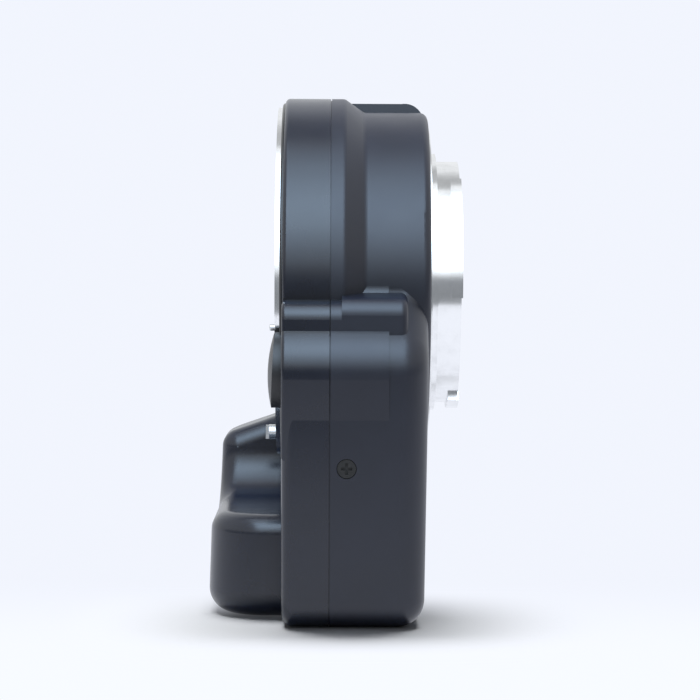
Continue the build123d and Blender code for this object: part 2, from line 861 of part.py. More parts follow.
def camera_index_dot(grow):
    """Round mark let into the rear face of the barrel."""
    middle = (camera_flange_radius + barrel_radius - barrel_edge_radius) / 2
    y, z = polar(middle, camera_dot_angle)
    return disc(dot_radius * 0.8 + grow, barrel_end_x - dot_depth, barrel_end_x, y, z)


def lens_mount_ring():
    ring = tube(mount_ring_radius - thread_gap, lens_throat_radius, lens_flange_x, face_x)
    outer = lens_throat_radius + overlap
    for angle in (90, 210, 330):
        lug = sector(outer, lens_lug_radius, angle - lens_lug_sweep / 2, lens_lug_sweep)
        ring += prism(lug, face_x - lens_lug_thickness, face_x)
    x0 = lens_flange_x - cut_margin
    x1 = face_x + cut_margin
    ring -= disc(lock_pin_radius + fit_gap, x0, x1, lock_pin_y, lock_pin_z)
    ring -= disc(coupler_head_radius + coupler_hole_gap, x0, x1, coupler_y, coupler_z)
    for plane in lens_screw_planes():
        ring -= plane * countersink(mount_ring_thickness + cut_margin)
    return ring - lens_index_dot(thread_gap)


def leaf_spring():
    """Thin spring ring behind the lens bayonet with three inward leaves."""
    ring = tube(box_front_radius, lens_throat_radius - overlap, face_x, face_x + leaf_thickness)
    inner = lens_throat_radius - leaf_depth
    for angle in (30, 150, 270):
        leaf = sector(lens_throat_radius, inner, angle - leaf_sweep / 2, leaf_sweep)
        ring += prism(leaf, face_x, face_x + leaf_thickness)
    return ring


def camera_mount_ring():
    ring = disc(camera_flange_radius, -camera_flange_thickness, 0)
    ring += disc(collar_radius, -camera_flange_thickness, collar_length)
    ring += disc(tube_radius, 0, tube_length)
    inner = (tube_radius + tube_bore_radius) / 2
    for angle in (156, 276, 36):
        lug = sector(camera_lug_radius, inner, angle - camera_lug_sweep / 2, camera_lug_sweep)
        ring += prism(lug, camera_lug_start, camera_lug_start + camera_lug_thickness)
    ring -= disc(tube_bore_radius, -camera_flange_thickness - cut_margin, tube_length + cut_margin)
    for plane in camera_screw_planes():
        ring -= plane * countersink(camera_flange_thickness + cut_margin)
    return ring - disc(lock_hole_radius, -lock_hole_depth, cut_margin, *polar(camera_screw_circle, 0))


def release_button():
    front_x = face_x - button_rise
    cap = prism(button_face(0.0), front_x, plate_x)
    dome_x = front_x + button_dome_radius
    dome = Pos(dome_x, -shoulder_y, -shoulder_drop - button_dome_drop) * Sphere(button_dome_radius)
    guide = prism(button_face(overlap), face_x, plate_x)
    return cap & (dome + guide)


def lock_plate():
    """Plate behind the front face that carries the button, the lock pin and the coupler fork."""
    outer = ring_radius - wall - plate_rim_gap
    arm = sector(outer, outer - plate_width, plate_start_angle, plate_sweep)
    middle = outer - plate_width / 2
    reach = hypot(shoulder_y, shoulder_drop)
    turn = degrees(atan2(-shoulder_drop, -shoulder_y))
    arm += Rot(0, 0, turn) * Pos((middle + reach) / 2, 0) * Rectangle(reach - middle, plate_width)
    arm += Pos(-shoulder_y, -shoulder_drop) * Circle(plate_pad_radius)
    arm += Pos(coupler_y, coupler_z) * Circle(plate_fork_radius)
    arm -= Pos(coupler_y, coupler_z) * Circle(coupler_neck_radius + room_gap)
    return prism(arm, plate_x, plate_x + plate_thickness)


def lock_pin():
    pin = disc(lock_pin_radius, lens_flange_x - lock_pin_rise, plate_x, lock_pin_y, lock_pin_z)
    return fillet(pin.edges().group_by(Axis.X)[0], lock_pin_radius * 0.4)


def coil(radius, wire, x0, x1, turns, y, z):
    """Coil spring along X between two planes."""
    length = x1 - x0 - wire
    path = Helix(length / turns, length, radius)
    start = path @ 0
    section = Plane(origin=start, z_dir=path % 0) * Circle(wire / 2)
    spring = sweep(section, path=path, is_frenet=True)
    return Pos(x0 + wire / 2, y, z) * Rot(0, 90, 0) * spring


def release_spring():
    x0 = plate_x + plate_thickness
    x1 = x0 + release_spring_length
    return coil(release_spring_radius, release_spring_wire, x0, x1, 5, -shoulder_y, -shoulder_drop)


def pitch_radius(teeth):
    return gear_module * teeth / 2


def center_distance(first, second):
    return pitch_radius(first) + pitch_radius(second) + slide_gap


def idler_center():
    step = center_distance(coupler_teeth, idler_teeth)
    y, z = polar(step, idler_direction)
    return (coupler_y + y, coupler_z + z)


def motor_center():
    step = center_distance(idler_teeth, pinion_teeth)
    y, z = polar(step, motor_direction)
    idler_y, idler_z = idler_center()
    return (idler_y + y, idler_z + z)


def aperture_pinion_center():
    return polar(center_distance(arc_teeth, pinion_teeth), aperture_pinion_angle)


def tooth_points(teeth, phase, first, count):
    """Outline of a run of involute teeth about the origin; phase is a tooth centre, in radians."""
    pressure = radians(25)
    pitch = pitch_radius(teeth)
    base = pitch * cos(pressure)
    tip = pitch + 0.7 * gear_module
    root = pitch - 1.1 * gear_module
    half = (pi * gear_module / 2 - gear_backlash) / 2 / pitch
    involute = tan(pressure) - pressure
    start = max(base, root)
    radii = [start + (tip - start) * k / 3 for k in range(4)]
    offsets = []
    for r in radii:
        angle = acos(min(1.0, base / r))
        offsets.append((r, half + involute - (tan(angle) - angle)))
    if root < base:
        offsets.insert(0, (root, offsets[0][1]))
    points = []
    for k in range(first, first + count):
        middle = phase + 2 * pi * k / teeth
        points += [(r * cos(middle - a), r * sin(middle - a)) for r, a in offsets]
        points += [(r * cos(middle + a), r * sin(middle + a)) for r, a in reversed(offsets)]
    return points


def mating_phase(teeth, phase, direction, other_teeth):
    """Phase of a second gear that meshes with the first in the given direction."""
    lead = pitch_radius(teeth) * (phase - direction) + pi * gear_module / 2
    return direction + pi - lead / pitch_radius(other_teeth)


def gear_solid(teeth, phase, x0, x1, y, z):
    face = Polygon(*tooth_points(teeth, phase, 0, teeth), align=None)
    return prism(Pos(y, z) * face, x0, x1)


def idler_gear():
    y, z = idler_center()
    gear = gear_solid(idler_teeth, 0.0, gear_x, gear_x + gear_width, y, z)
    gear += disc(gear_hub_radius, gear_x, gear_plate_x - fit_gap, y, z)
    return gear - disc(idler_axle_radius + run_gap, gear_x - cut_margin, gear_plate_x + cut_margin, y, z)


def idler_axle():
    y, z = idler_center()
    return disc(idler_axle_radius, gear_x - gear_play, gear_plate_back_x, y, z)


def square_bar(half, x0, x1):
    """Square bar on the coupler's axis."""
    return block(x0, x1, coupler_y - half, coupler_y + half, coupler_z - half, coupler_z + half)


def coupler_gear():
    phase = mating_phase(idler_teeth, 0.0, radians(idler_direction + 180), coupler_teeth)
    gear = gear_solid(coupler_teeth, phase, gear_x, gear_x + gear_width, coupler_y, coupler_z)
    end_x = gear_plate_back_x + gear_play
    gear += disc(gear_hub_radius, gear_x + gear_width, end_x, coupler_y, coupler_z)
    return gear - square_bar(coupler_square / 2 + slide_gap, gear_x - cut_margin, end_x + cut_margin)


def motor_pinion():
    y, z = motor_center()
    phase = mating_phase(idler_teeth, 0.0, radians(motor_direction), pinion_teeth)
    gear = gear_solid(pinion_teeth, phase, gear_x, gear_x + gear_width, y, z)
    return gear + disc(motor_axle_radius, gear_x - seam_gap, gear_plate_back_x + gear_plate_thickness, y, z)


def coupler_flange_x():
    return plate_x + plate_thickness + fit_gap


def coupler_shaft():
    """Focus coupler: a blade on a round head and neck, and a square tail that slides in its gear."""
    tip_x = lens_flange_x - release_travel
    head_x = tip_x + coupler_blade_rise
    neck_x = head_x + coupler_head_length
    flange_x = coupler_flange_x()
    square_x = flange_x + coupler_flange_thickness
    half_y = coupler_blade_thickness / 2
    half_z = coupler_head_radius * 0.92
    y0, y1 = (coupler_y - half_y, coupler_y + half_y)
    shaft = block(tip_x, head_x + overlap, y0, y1, coupler_z - half_z, coupler_z + half_z)
    shaft += disc(coupler_head_radius, head_x, neck_x, coupler_y, coupler_z)
    shaft += disc(coupler_neck_radius, head_x, square_x, coupler_y, coupler_z)
    shaft += disc(coupler_flange_radius, flange_x, square_x, coupler_y, coupler_z)
    tail_x = gear_plate_back_x + coupler_tail
    return shaft + square_bar(coupler_square / 2, flange_x, tail_x)


def coupler_spring():
    x0 = coupler_flange_x() + coupler_flange_thickness
    return coil(coupler_spring_radius, coupler_spring_wire, x0, gear_x, 4, coupler_y, coupler_z)


def gear_plate():
    motor_y, motor_z = motor_center()
    circles = [
        Pos(coupler_y, coupler_z) * Circle(gear_hub_radius + 2 * gear_plate_margin),
        Pos(motor_y, motor_z) * Circle(motor_radius + gear_plate_margin),
    ]
    circles += [Pos(y, z) * Circle(post_radius + gear_plate_margin) for y, z, x in gear_posts()]
    outline = make_hull([e for c in circles for e in c.edges()])
    plate = prism(outline, gear_plate_x, gear_plate_back_x)
    x0 = gear_plate_x - cut_margin
    x1 = gear_plate_back_x + cut_margin
    plate -= disc(gear_hub_radius + run_gap, x0, x1, coupler_y, coupler_z)
    plate -= disc(idler_axle_radius + thread_gap, x0, x1, *idler_center())
    plate -= disc(motor_axle_radius + room_gap, x0, x1, motor_y, motor_z)
    for y, z, x in gear_posts():
        plate -= disc(screw_shank_radius + thread_gap, x0, x1, y, z)
    return plate


def gear_plate_screws():
    screw = pan_screw(post_screw_length)
    return [Plane((gear_plate_x, y, z), z_dir=(-1, 0, 0)) * screw for y, z, x in gear_posts()]


def focus_motor():
    y, z = motor_center()
    x0 = gear_plate_back_x
    can = disc(motor_radius, x0, x0 + motor_length, y, z)
    can = fillet(can.edges().filter_by(GeomType.CIRCLE), motor_edge_radius)
    return can - disc(motor_axle_radius + run_gap, x0 - cut_margin, x0 + 2 * gear_plate_thickness, y, z)


def arc_phase():
    """Angle of the first tooth on the aperture arc, in degrees."""
    return aperture_pinion_angle - aperture_travel - 3 * 360 / arc_teeth


def aperture_arc():
    """Turning arc with the lever that works the lens aperture, and a toothed edge."""
    end_x = arc_x + arc_thickness
    sweep_angle = arc_end_angle - arc_start_angle
    body = prism(sector(arc_outer_radius, arc_inner_radius, arc_start_angle, sweep_angle), arc_x, end_x)
    pitch = 360 / arc_teeth
    count = int(aperture_travel / pitch) + 6
    teeth = tooth_points(arc_teeth, radians(arc_phase()), 0, count)
    inner = arc_outer_radius - overlap
    back = [polar(inner, arc_phase() + pitch * k) for k in reversed(range(count))]
    body += prism(Polygon(*teeth, *back, align=None), arc_x, end_x)
    lever_angle = arc_start_angle + lever_sweep / 2
    lever = sector(arc_outer_radius, arc_inner_radius - lever_depth, lever_angle, lever_sweep)
    return body + prism(lever, arc_x - lever_reach, end_x)


def aperture_pinion():
    y, z = aperture_pinion_center()
    toward = radians(aperture_pinion_angle)
    phase = mating_phase(arc_teeth, radians(arc_phase()), toward, pinion_teeth)
    gear = gear_solid(pinion_teeth, phase, arc_x, arc_x + arc_thickness, y, z)
    return gear + disc(motor_axle_radius, arc_x - fit_gap, aperture_motor_x + box_front_setback, y, z)


def aperture_motor():
    y, z = aperture_pinion_center()
    x0 = aperture_motor_x
    can = disc(aperture_motor_radius, x0, x0 + aperture_motor_length, y, z)
    return can - disc(motor_axle_radius + run_gap, x0 - cut_margin, x0 + 2 * cut_margin, y, z)


def mirror_box():
    """Black chassis that joins both bayonets and holds the mirror."""
    body = disc(box_front_radius, box_front_x, inner_back_x)
    body += disc(box_radius, box_shoulder_x, inner_back_x)
    body += tube(box_front_radius, arc_outer_radius + room_gap, inner_face_x + fit_gap, box_front_x)
    ear_z = -mount_ring_thickness - front_wall - ear_length / 2
    for plane in lens_screw_planes():
        body += plane * Pos(0, 0, ear_z) * Cylinder(ear_radius, ear_length)
    barrel_room = disc(barrel_radius - wall - fit_gap, box_shoulder_x, inner_back_x)
    for plane in camera_screw_planes():
        ear = plane * Pos(0, 0, inner_back_x - ear_length / 2) * Cylinder(ear_radius, ear_length)
        body += ear & barrel_room
    half_y = chamber_width / 2
    half_z = chamber_height / 2
    body -= block(box_front_x - fit_gap, 0, -half_y, half_y, -half_z, half_z)
    under_x = box_front_x + box_front_thickness
    body -= block(under_x, 0, -half_width, half_width, base_z, box_floor_z)
    x0, x1, y0, y1 = sensor_shaft(room_gap)
    body -= block(x0, x1, y0, y1, box_floor_z - cut_margin, 0)
    body -= aperture_motor_room()
    for plane in lens_screw_planes():
        body -= plane * countersink(lens_screw_length + 2 * cut_margin)
    for plane in camera_screw_planes():
        body -= plane * countersink(camera_screw_length + 2 * cut_margin)
    for y, z in lens_contact_spots():
        body -= disc(pin_foot_radius + fit_gap, box_front_x - cut_margin, under_x - fit_gap, y, z)
    for sign in (-1, 1):
        body += mirror_rail(sign)
    return body - disc(barrel_radius, inner_back_x, cut_margin)


def aperture_motor_room():
    """Pocket for the aperture motor, and the window for the turning arc and its pinion."""
    y, z = aperture_pinion_center()
    end_x = aperture_motor_x + aperture_motor_length + overlap
    room = disc(aperture_motor_radius + slide_gap, aperture_motor_x, end_x, y, z)
    room += disc(pitch_radius(pinion_teeth) + overlap, inner_face_x - cut_margin, aperture_motor_x, y, z)
    sweep_angle = 2 * aperture_travel + 24
    start = aperture_pinion_angle - sweep_angle / 2
    window = sector(box_front_radius + cut_margin, arc_outer_radius - cut_margin, start, sweep_angle)
    return room + prism(window, inner_face_x - cut_margin, box_front_x)


def mirror_rail(sign):
    """Ledge on the chamber wall behind the mirror frame."""
    y = sign * (chamber_width / 2 + overlap - rail_width / 2)
    z = (mirror_frame_thickness + rail_thickness) / 2
    return mirror_place() * Pos(0, y, z) * Box(mirror_length * 0.8, rail_width, rail_thickness)


def mirror_place():
    """Mirror plane: long side across the axis, top edge toward the lens."""
    return Pos(mirror_center_x, 0, 0) * Rot(0, 90 - mirror_tilt, 0)


def mirror_plate(inset, thickness):
    """Flat plate in the mirror plane, smaller than the frame on every side."""
    return Box(mirror_length - 2 * inset, mirror_width - 2 * inset, thickness)


def mirror_frame():
    frame = mirror_plate(0.0, mirror_frame_thickness)
    frame -= mirror_plate(mirror_frame_width, 2 * mirror_frame_thickness)
    seat = Pos(0, 0, -mirror_frame_thickness / 2) * mirror_plate(mirror_seat_width, 2 * mirror_thickness)
    return mirror_place() * (frame - seat)


def mirror():
    depth = (mirror_thickness - mirror_frame_thickness) / 2
    return mirror_place() * Pos(0, 0, depth) * mirror_plate(mirror_seat_width + run_gap, mirror_thickness)


def mirror_clips():
    """Two leaf clips that hold the mirror in its frame."""
    depth = -(mirror_frame_thickness + clip_thickness) / 2
    clips = []
    for sign in (-1, 1):
        y = sign * (mirror_width / 2 - mirror_frame_width * 0.6)
        clip = Box(clip_length, mirror_frame_width * 1.2, clip_thickness)
        clips.append(mirror_place() * Pos(0, y, depth) * clip)
    return clips


def rear_baffle():
    """Light mask inside the camera bayonet."""
    outer = tube_bore_radius - thread_gap
    width = chamber_width - 2 * baffle_side_margin
    height = chamber_height - 2 * baffle_end_margin
    window = RectangleRounded(width, height, baffle_corner_radius)
    window &= Circle(tube_bore_radius - baffle_window_inset)
    mask = prism(Circle(outer) - window, baffle_setback, baffle_setback + baffle_thickness)
    mask += tube(outer, outer - baffle_ring_width, baffle_setback, tube_length - contact_block_sink)
    room = sector(tube_radius, contact_inner_radius - fit_gap, 236, 68)
    return mask - prism(room, contact_block_start, tube_length + cut_margin)


def camera_contact_block():
    body = sector(tube_bore_radius - run_gap, contact_inner_radius, 238, 64)
    return prism(body, contact_block_start, tube_length - contact_block_sink)


def camera_contact_pads():
    circle = tube_bore_radius - contact_depth * 0.52
    spots = [polar(circle, 270 + contact_step_angle * (k - 4.5)) for k in range(10)]
    x = tube_length - contact_block_sink
    return [disc(contact_pad_radius, x, x + contact_pad_rise, y, z) for y, z in spots]


def lens_contact_spots():
    return [polar(pin_circle, 270 + pin_step_angle * (k - 3.5)) for k in range(8)]


def lens_contact_block():
    x0 = inner_face_x + fit_gap
    body = prism(sector(pin_circle + pin_block_half, pin_circle - pin_block_half, 246, 48), x0, box_front_x)
    for y, z in lens_contact_spots():
        body -= disc(pin_radius + run_gap, x0 - cut_margin, box_front_x + cut_margin, y, z)
    return body


def lens_contact_pins():
    x0 = inner_face_x - pin_rise
    foot_x = box_front_x + fit_gap
    pins = []
    for y, z in lens_contact_spots():
        stem = disc(pin_radius, x0, foot_x + pin_foot_length, y, z)
        pins.append(stem + disc(pin_foot_radius, foot_x, foot_x + pin_foot_length, y, z))
    return pins


def sensor_shaft(grow):
    """Sides of the light shaft through the sensor housing: two in X and two in Y."""
    x0 = sensor_x + sensor_wall / 2 - grow
    x1 = sensor_x + sensor_length - sensor_wall / 2 + grow
    return (x0, x1, -shaft_near - grow, sensor_far - sensor_wall + grow)


def sensor_housing():
    low_z = box_floor_z - sensor_height
    seat_z = box_floor_z - shaft_depth
    end_x = sensor_x + sensor_length
    body = block(sensor_x, end_x, -sensor_near, sensor_far, low_z, box_floor_z)
    y0, y1 = (sensor_wall - sensor_near, sensor_far - sensor_wall)
    body -= block(sensor_x + sensor_wall, end_x - sensor_wall, y0, y1, low_z - cut_margin, seat_z)
    return body - block(*sensor_shaft(0.0), seat_z - cut_margin, box_floor_z + cut_margin)


def condenser_lens():
    x0, x1, y0, y1 = sensor_shaft(-run_gap)
    top_z = box_floor_z - condenser_drop
    body = block(x0, x1, y0, y1, top_z - condenser_thickness, top_z)
    center = Pos((x0 + x1) / 2, (y0 + y1) / 2, top_z - condenser_dome_radius)
    return body & center * Sphere(condenser_dome_radius)


def sensor_board():
    high_z = box_floor_z - sensor_height
    low_z = high_z - sensor_board_thickness
    return block(sensor_x, sensor_x + sensor_length, -sensor_near, sensor_far, low_z, high_z)


def sensor_chip():
    x0, x1, y0, y1 = sensor_shaft(0.0)
    low_z = box_floor_z - sensor_height
    center = Pos((x0 + x1) / 2, (y0 + y1) / 2, low_z + sensor_chip_height / 2)
    return center * Box(sensor_chip_length, sensor_chip_width, sensor_chip_height)


def main_board():
    x1 = board_x + board_thickness
    far_y = board_near_y + board_width
    board = block(board_x, x1, board_near_y, far_y, board_low_z, board_low_z + board_height)
    for y, z, x in board_posts():
        board -= disc(screw_shank_radius + thread_gap, board_x - cut_margin, x + cut_margin, y, z)
    return board


def board_chips():
    """Three packages on the front of the main board, placed as shares of its width and height."""
    chips = []
    for across, up, share in ((0.54, 0.46, 1.0), (0.25, 0.80, 0.6), (0.79, 0.15, 0.5)):
        y = board_near_y + across * board_width
        z = board_low_z + up * board_height
        chip = Box(chip_height, share * chip_size, share * chip_size)
        chips.append(Pos(board_x - chip_height / 2, y, z) * chip)
    return chips


def board_screws():
    screw = pan_screw(post_screw_length)
    return [Plane((board_x, y, z), z_dir=(-1, 0, 0)) * screw for y, z, x in board_posts()]


def tripod_socket():
    body = Pos(socket_x, 0, base_z + socket_depth / 2) * Cylinder(socket_radius, socket_depth)
    lip_z = base_z + wall + socket_lip_thickness / 2
    body += Pos(socket_x, 0, lip_z) * Cylinder(socket_radius + socket_lip, socket_lip_thickness)
    bore = Cylinder(socket_bore_radius, socket_bore_depth)
    return body - Pos(socket_x, 0, base_z + socket_bore_depth / 2) * bore


def side_screws():
    screw = pan_screw(side_screw_length)
    return [plane * screw for plane in side_screw_planes()]


def group(solids):
    return Compound(children=list(solids))


def main():
    nodes = {
        "front_shell": front_shell(),
        "rear_shell": rear_shell(),
        "front_trim_ring": trim_ring(),
        "lens_mount_ring": lens_mount_ring(),
        "lens_mount_screws": group(lens_mount_screws()),
        "bayonet_spring": leaf_spring(),
        "camera_mount_ring": camera_mount_ring(),
        "camera_mount_screws": group(camera_mount_screws()),
        "release_button": release_button(),
        "lock_plate": lock_plate(),
        "lock_pin": lock_pin(),
        "release_spring": release_spring(),
        "coupler_shaft": coupler_shaft(),
        "coupler_gear": coupler_gear(),
        "coupler_spring": coupler_spring(),
        "idler_gear": idler_gear(),
        "idler_axle": idler_axle(),
        "motor_pinion": motor_pinion(),
        "focus_motor": focus_motor(),
        "gear_plate": gear_plate(),
        "gear_plate_screws": group(gear_plate_screws()),
        "aperture_arc": aperture_arc(),
        "aperture_pinion": aperture_pinion(),
        "aperture_motor": aperture_motor(),
        "mirror_box": mirror_box(),
        "mirror_frame": mirror_frame(),
        "mirror": mirror(),
        "mirror_clips": group(mirror_clips()),
        "rear_baffle": rear_baffle(),
        "camera_contact_block": camera_contact_block(),
        "camera_contact_pads": group(camera_contact_pads()),
        "lens_contact_block": lens_contact_block(),
        "lens_contact_pins": group(lens_contact_pins()),
        "sensor_housing": sensor_housing(),
        "condenser_lens": condenser_lens(),
        "sensor_board": sensor_board(),
        "sensor_chip": sensor_chip(),
        "main_board": main_board(),
        "board_chips": group(board_chips()),
        "board_screws": group(board_screws()),
        "tripod_socket": tripod_socket(),
        "side_screws": group(side_screws()),
        "lens_index_dot": lens_index_dot(0.0),
        "camera_index_dot": camera_index_dot(0.0),
    }
    os.makedirs("parts", exist_ok=True)
    for name, shape in nodes.items():
        export_step(shape, f"parts/{name}.step")


if __name__ == "__main__":
    main()
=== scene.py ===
# %% [markdown]
# A lens mount adapter, dressed for its portrait.
# The solids come from the CAD model and already have their true shapes and smooth
# normals. This script gives each of them a finish, adds the fine marks of the
# workshop, and sets up the pale table, the soft lights and the camera.
# Everything is in metres, in the CAD frame: +X runs along the optical axis toward
# the camera body, +Z is up, and the release button is on the -Y side.

import math

import bpy
from mathutils import Matrix, Vector


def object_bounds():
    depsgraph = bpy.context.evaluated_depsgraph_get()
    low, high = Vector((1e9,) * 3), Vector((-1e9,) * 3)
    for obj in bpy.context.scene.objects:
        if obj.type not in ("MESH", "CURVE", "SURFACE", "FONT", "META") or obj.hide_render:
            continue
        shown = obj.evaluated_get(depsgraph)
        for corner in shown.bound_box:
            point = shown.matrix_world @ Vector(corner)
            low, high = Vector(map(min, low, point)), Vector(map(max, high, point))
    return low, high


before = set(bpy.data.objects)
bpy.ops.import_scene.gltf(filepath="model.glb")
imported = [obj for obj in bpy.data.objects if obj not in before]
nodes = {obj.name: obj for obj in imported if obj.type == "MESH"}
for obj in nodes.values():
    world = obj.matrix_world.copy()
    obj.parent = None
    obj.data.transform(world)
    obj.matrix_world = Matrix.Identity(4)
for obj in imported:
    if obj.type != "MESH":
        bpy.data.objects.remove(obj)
cad_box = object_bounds()
print("solids:", len(nodes), "box:", [round(v * 1000, 2) for v in cad_box[1] - cad_box[0]], "mm")

# %% [markdown]
# The camera stands level with the button side, 45 cm away, and looks down by two and
# a half degrees. A long lens keeps the two flanges almost edge-on. The camera's axes
# are written as a rotation matrix, because that keeps the slight tilt of the picture
# apart from the aim. Blender's camera looks down its own -Z, so the third column of
# the matrix is the direction from the object back to the camera.

# %% Camera
SENSOR = 0.036
PIXELS = 700
focal_pixels = 2520
distance = 0.45
pitch = math.radians(2.5)
roll = math.radians(0.28)
target = Vector((-0.01639, 0.0, -0.0122))
aim = Vector((0.0, math.cos(pitch), -math.sin(pitch)))
place = target - distance * aim

camera_data = bpy.data.cameras.new("portrait_camera")
camera_data.sensor_width = SENSOR * 1000
camera_data.lens = focal_pixels / PIXELS * SENSOR * 1000
camera_data.clip_start = 0.01
camera = bpy.data.objects.new("portrait_camera", camera_data)
bpy.context.scene.collection.objects.link(camera)

shift_pixels = 15
yaw = math.atan(shift_pixels / focal_pixels)
forward = (Matrix.Rotation(-yaw, 3, "Z") @ aim).normalized()
side = forward.cross(Vector((0, 0, 1))).normalized()
upward = side.cross(forward)
right = side * math.cos(roll) + upward * math.sin(roll)
upright = upward * math.cos(roll) - side * math.sin(roll)
turn = Matrix((right, upright, -forward)).transposed()
camera.matrix_world = Matrix.Translation(place) @ turn.to_4x4()
bpy.context.scene.camera = camera
print("camera at", [round(v * 1000, 1) for v in place], "mm, lens", round(camera_data.lens, 1), "mm")

# %% [markdown]
# Shader maths reads best as plain arithmetic. A Signal wraps one output socket of a
# node tree, and the usual operators on it add Math nodes, so a mask can be written
# as 1 - (a + b) * 0.5 and still ends up as nodes.

# %% Signals
class Signal:
    """An output socket that can be added, subtracted, multiplied and divided."""

    def __init__(self, tree, socket):
        self.tree = tree
        self.socket = socket

    def math(self, operation, first, second, clamp=False):
        node = self.tree.nodes.new("ShaderNodeMath")
        node.operation = operation
        node.use_clamp = clamp
        plug(self.tree, node.inputs[0], first)
        plug(self.tree, node.inputs[1], second)
        return Signal(self.tree, node.outputs[0])

    def __add__(self, other):
        return self.math("ADD", self, other)

    def __radd__(self, other):
        return self.math("ADD", other, self)

    def __sub__(self, other):
        return self.math("SUBTRACT", self, other)

    def __rsub__(self, other):
        return self.math("SUBTRACT", other, self)

    def __mul__(self, other):
        return self.math("MULTIPLY", self, other)

    def __rmul__(self, other):
        return self.math("MULTIPLY", other, self)

    def __truediv__(self, other):
        return self.math("DIVIDE", self, other)

    def __pow__(self, other):
        return self.math("POWER", self, other)


def plug(tree, socket, value):
    """Link a signal to an input socket, or set the socket to a plain value."""
    if isinstance(value, Signal):
        tree.links.new(value.socket, socket)
    else:
        socket.default_value = value


# %% [markdown]
# A Finish is one material. It starts with a Principled shader, and a single method
# adds every other kind of node: the settings are put on the node first, then its
# sockets get their values or links. Patterns read Object coordinates, which are the
# CAD coordinates here, so a grain is as fine on a screw as on the casing.

# %% Finishes
class Finish:
    """A material with a Principled shader, and one way to add nodes to it."""

    def __init__(self, name):
        self.material = bpy.data.materials.new(name)
        self.material.use_nodes = True
        self.tree = self.material.node_tree
        self.shader = self.tree.nodes["Principled BSDF"]
        self.place = self.node("ShaderNodeTexCoord", output="Object")

    def node(self, kind, settings=None, sockets=None, output=0):
        made = self.tree.nodes.new(kind)
        for key, value in (settings or {}).items():
            setattr(made, key, value)
        for key, value in (sockets or {}).items():
            plug(self.tree, made.inputs[key], value)
        return Signal(self.tree, made.outputs[output])

    def axes(self):
        """The X, Y and Z of a point on the piece."""
        split = self.node("ShaderNodeSeparateXYZ", sockets={0: self.place})
        outputs = split.socket.node.outputs
        return [Signal(self.tree, outputs[k]) for k in range(3)]

    def noise(self, scale, detail=2.0, roughness=0.5):
        sockets = {"Vector": self.place, "Scale": scale, "Detail": detail, "Roughness": roughness}
        return self.node("ShaderNodeTexNoise", sockets=sockets)

    def stretched_noise(self, scale, stretch):
        """Noise drawn out along the axes that have a small stretch."""
        moved = self.node("ShaderNodeMapping", sockets={"Vector": self.place, "Scale": stretch})
        return self.node("ShaderNodeTexNoise", sockets={"Vector": moved, "Scale": scale, "Detail": 3.0})

    def window(self, signal, low, high, start=0.0, end=1.0):
        """Carry a range of a signal over to another range, with soft ends."""
        settings = {"interpolation_type": "SMOOTHSTEP"}
        sockets = {0: signal, 1: low, 2: high, 3: start, 4: end}
        return self.node("ShaderNodeMapRange", settings, sockets)

    def blend(self, factor, first, second):
        """Mix two colours by a signal."""
        sockets = {"Factor": factor}
        mixed = self.node("ShaderNodeMix", {"data_type": "RGBA"}, sockets, output=2)
        for key, value in ((6, first), (7, second)):
            plug(self.tree, mixed.socket.node.inputs[key], value)
        return mixed

    def relief(self, height, depth, strength=1.0):
        """Bump from a height signal; depth is in metres."""
        sockets = {"Strength": strength, "Distance": depth, "Height": height}
        self.set("Normal", self.node("ShaderNodeBump", sockets=sockets))

    def size_of(self, signal):
        return signal.math("ABSOLUTE", signal, 0.0)

    def above_zero(self, signal):
        return signal.math("MAXIMUM", signal, 0.0)

    def set(self, name, value):
        plug(self.tree, self.shader.inputs[name], value)


def rgb(red, green, blue):
    return (red, green, blue, 1.0)


finishes = {}


def cover(finish, *names):
    """Put a finish on some of the solids."""
    finishes[finish.material.name] = len(names)
    for name in names:
        slots = nodes[name].data.materials
        slots.clear()
        slots.append(finish.material)


# %% [markdown]
# The casing is satin black with a hint of blue. Moulded and painted shells are never
# quite even: the tone drifts over a centimetre or two, and a fine eggshell grain
# spreads the highlights. Both come from noise at those sizes, the first in the colour
# and the second in the roughness and the relief. The rear moulding is a little duller
# than the front one, so its highlights are wider and weaker. The lacquer mirrors
# slightly more than plain plastic does, which the specular level says.

# %% Casing finish
LACQUER_SHINE = 0.62


def satin_black(name, dark, light, rough, grain_size, grain_depth):
    finish = Finish(name)
    drift = finish.noise(90, 3.0)
    grain = finish.noise(1 / grain_size, 2.0, 0.6)
    smudge = finish.noise(260, 4.0, 0.6)
    finish.set("Base Color", finish.blend(finish.window(drift, 0.3, 0.7), rgb(*dark), rgb(*light)))
    finish.set("Roughness", rough + (smudge - 0.5) * 0.08 + (grain - 0.5) * 0.06)
    finish.set("Specular IOR Level", LACQUER_SHINE)
    finish.relief(grain, grain_depth)
    return finish


front_finish = satin_black(
    "front_shell_satin_black",
    dark=(0.006, 0.0115, 0.029),
    light=(0.009, 0.015, 0.036),
    rough=0.24,
    grain_size=0.00016,
    grain_depth=0.000004,
)
cover(front_finish, "front_shell")
rear_finish = satin_black(
    "rear_shell_satin_black",
    dark=(0.006, 0.010, 0.026),
    light=(0.009, 0.0135, 0.032),
    rough=0.37,
    grain_size=0.00016,
    grain_depth=0.000005,
)
cover(rear_finish, "rear_shell")
button_finish = satin_black(
    "button_satin_black",
    dark=(0.012, 0.013, 0.016),
    light=(0.016, 0.017, 0.021),
    rough=0.42,
    grain_size=0.00012,
    grain_depth=0.000003,
)
cover(button_finish, "release_button")
trim_finish = satin_black(
    "trim_satin_black",
    dark=(0.010, 0.011, 0.013),
    light=(0.015, 0.016, 0.018),
    rough=0.30,
    grain_size=0.0001,
    grain_depth=0.000002,
)
cover(trim_finish, "front_trim_ring")
print("black finishes:", list(finishes))

